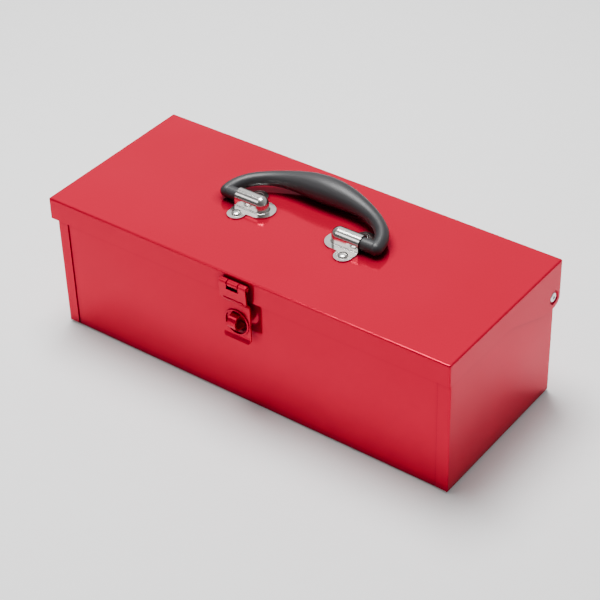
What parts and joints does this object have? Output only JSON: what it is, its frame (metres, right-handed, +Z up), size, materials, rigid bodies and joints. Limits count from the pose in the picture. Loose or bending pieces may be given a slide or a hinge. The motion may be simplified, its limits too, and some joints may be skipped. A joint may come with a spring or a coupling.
{
  "type": "sheet-steel carrying box",
  "caption": "Rectangular sheet-steel carrying box with an eared hinged lid, a swing handle in two stamped brackets and a front hasp over a staple.",
  "frame": {"origin": "middle of the base's flat underside, which rests on the table", "axes": "+X along the length of the box, -Y towards the hasp and the front, +Z up"},
  "size_m": [0.36, 0.1575, 0.1404],
  "materials": {
    "red_paint": "glossy candy-red enamel",
    "chrome": "bright plate",
    "bright_steel": "bright",
    "plain_steel": "dull zinc",
    "black_plastic": "satin"
  },
  "bodies": {
    "base": {"base_wrap": "red_paint", "end_panel_left": "red_paint", "end_panel_right": "red_paint", "hinge_rivet_left": "bright_steel", "hinge_rivet_right": "bright_steel", "hinge_stem_left": "plain_steel", "hinge_stem_right": "plain_steel", "staple": "red_paint", "staple_rivets": "red_paint"},
    "lid": {"lid_shell": "red_paint", "handle_bracket_left": "chrome", "handle_bracket_right": "chrome", "bracket_rivets_left": "chrome", "bracket_rivets_right": "chrome", "bracket_backing_left": "plain_steel", "bracket_backing_right": "plain_steel", "hasp_leaf": "red_paint", "hasp_leaf_rivets": "red_paint", "hasp_pin": "red_paint"},
    "handle": {"handle_grip": "black_plastic", "handle_core": "plain_steel"},
    "hasp": {"hasp_plate": "red_paint"}
  },
  "joints": [
    {"name": "lid_hinge", "type": "hinge", "parent": "base", "child": "lid", "pos_m": [0, 0.065, 0.0899], "axis": [-1, 0, 0], "range_deg": [0, 115]},
    {"name": "handle_swing", "type": "hinge", "parent": "lid", "child": "handle", "pos_m": [0, 0.0025, 0.1246], "axis": [1, 0, 0], "range_deg": [0, 164]},
    {"name": "hasp_swing", "type": "hinge", "parent": "lid", "child": "hasp", "pos_m": [0, -0.0774, 0.1132], "axis": [-1, 0, 0], "range_deg": [0, 150]}
  ]
}
